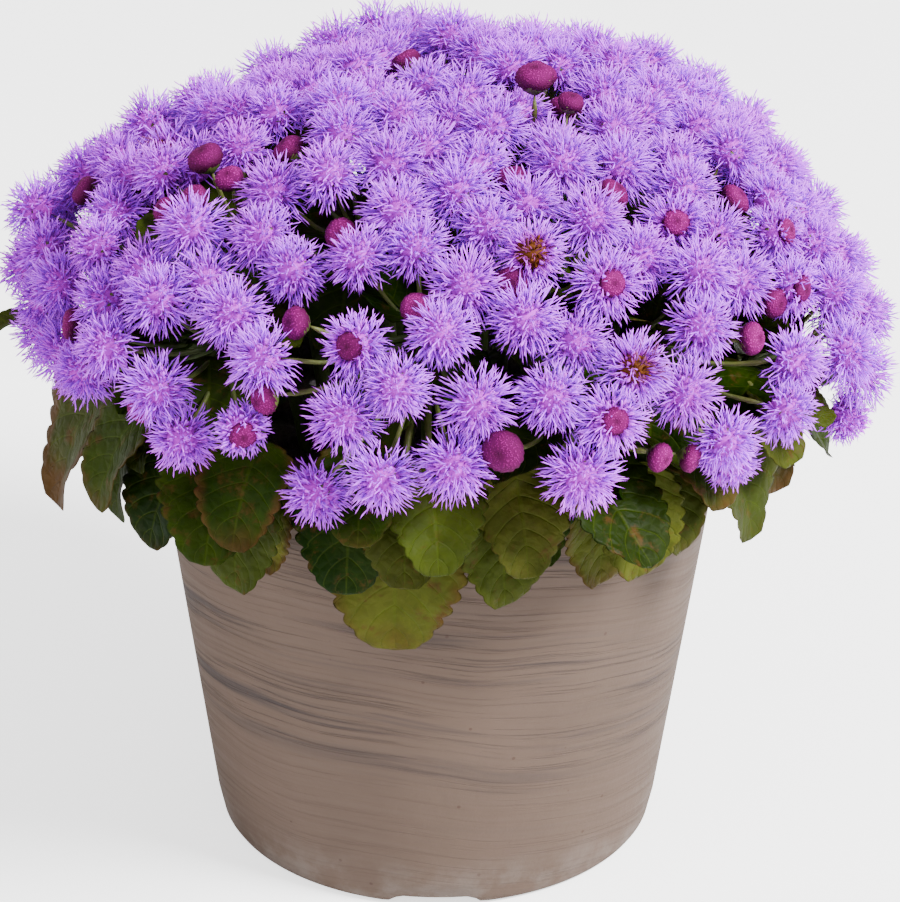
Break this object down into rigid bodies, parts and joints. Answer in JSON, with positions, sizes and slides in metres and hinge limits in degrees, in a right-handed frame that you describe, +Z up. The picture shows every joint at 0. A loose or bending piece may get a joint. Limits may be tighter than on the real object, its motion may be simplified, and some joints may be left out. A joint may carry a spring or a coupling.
{
  "type": "potted ageratum",
  "caption": "Bushy dome of fluffy lavender flower heads and magenta buds on leafy stems, rooted in soil in a tapered clay pot with a notched foot.",
  "frame": {"origin": "middle of the pot's foot, on the ground", "axes": "+Z up along the pot's axis; -Y towards the front of the plant, where the lowest leaf hangs; +X to the right, where the dome reaches a little further"},
  "size_m": [0.1733, 0.1734, 0.1638],
  "materials": {
    "clay": "matt fired clay, grey-taupe, with fine dark streaks that run round the pot like marbling",
    "soil": "loose dark potting soil, crumbly and matt",
    "flowers": "soft lavender threads with pinker middles, magenta buds and thin green stalks",
    "foliage": "softly wrinkled green leaves with toothed edges, some olive, yellow or brown, on light green stems"
  },
  "bodies": {
    "root": {"pot": "clay", "soil": "soil", "spray_01": "flowers", "spray_02": "flowers", "spray_03": "flowers", "spray_04": "flowers", "spray_05": "flowers", "spray_06": "flowers", "spray_07": "flowers", "spray_08": "flowers", "spray_09": "flowers", "spray_10": "flowers", "spray_11": "flowers", "spray_12": "flowers", "spray_13": "flowers", "spray_14": "flowers", "spray_15": "flowers", "spray_16": "flowers", "spray_17": "flowers", "spray_18": "flowers", "spray_19": "flowers", "spray_20": "flowers", "spray_21": "flowers", "spray_22": "flowers", "spray_23": "flowers", "spray_24": "flowers", "stem_01": "foliage", "stem_02": "foliage", "stem_03": "foliage", "stem_04": "foliage", "stem_05": "foliage", "stem_06": "foliage", "stem_07": "foliage", "stem_08": "foliage", "stem_09": "foliage", "stem_10": "foliage", "stem_11": "foliage", "stem_12": "foliage", "stem_13": "foliage", "stem_14": "foliage", "stem_15": "foliage", "stem_16": "foliage", "stem_17": "foliage", "stem_18": "foliage", "stem_19": "foliage", "stem_20": "foliage", "stem_21": "foliage", "stem_22": "foliage", "stem_23": "foliage", "stem_24": "foliage"}
  },
  "joints": []
}
